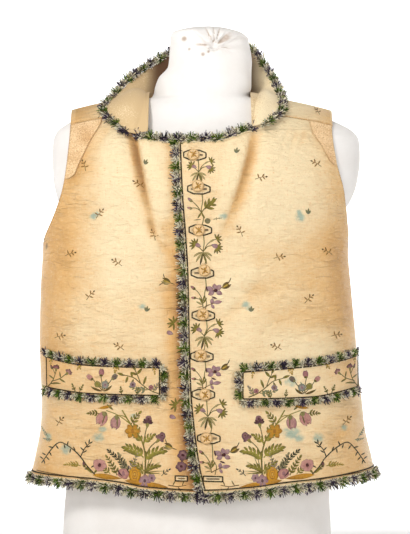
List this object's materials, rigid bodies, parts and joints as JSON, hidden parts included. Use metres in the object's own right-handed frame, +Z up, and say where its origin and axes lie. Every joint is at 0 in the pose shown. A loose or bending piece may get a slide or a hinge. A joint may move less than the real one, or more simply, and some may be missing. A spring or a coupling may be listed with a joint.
{
  "type": "embroidered waistcoat on a dress form",
  "caption": "A sleeveless silk waistcoat with a turned-out stand collar, fringe trim, pocket flaps and embroidered flowers, buttoned on a limbless dress form.",
  "frame": {"origin": "the middle of the dress form's flat base, below the middle of the bounding box", "axes": "+X is the wearer's left, -Y is the front, +Z is up"},
  "size_m": [0.5197, 0.2915, 0.807],
  "materials": {
    "cotton": "plain white cotton cover",
    "silk": "cream ribbed silk with a soft sheen, embroidered in coloured silks",
    "back_cloth": "plain undyed linen, matt",
    "lining": "pale coarse pebbly cloth, matt",
    "facing": "coarse speckled rust and cream cloth, matt",
    "fringe": "tufted silk fringe in purple-grey, cream and green",
    "button": "cloth-covered, embroidered in golden brown"
  },
  "bodies": {
    "root": {"dress_form": "cotton", "front_right": "silk", "front_left": "silk", "back": "back_cloth", "shoulder_strip_right": "silk", "shoulder_strip_left": "silk", "collar_outer": "silk", "collar_lining": "lining", "armhole_facing_right": "facing", "armhole_facing_left": "facing", "pocket_flap_right": "silk", "pocket_flap_left": "silk", "fringe_collar": "fringe", "fringe_neck_right": "fringe", "fringe_neck_left": "fringe", "fringe_centre_front": "fringe", "fringe_hem_right": "fringe", "fringe_hem_left": "fringe", "fringe_pocket_right": "fringe", "fringe_pocket_left": "fringe", "button_1": "button", "button_2": "button", "button_3": "button", "button_4": "button", "button_5": "button", "button_6": "button", "button_7": "button", "button_8": "button"}
  },
  "joints": []
}
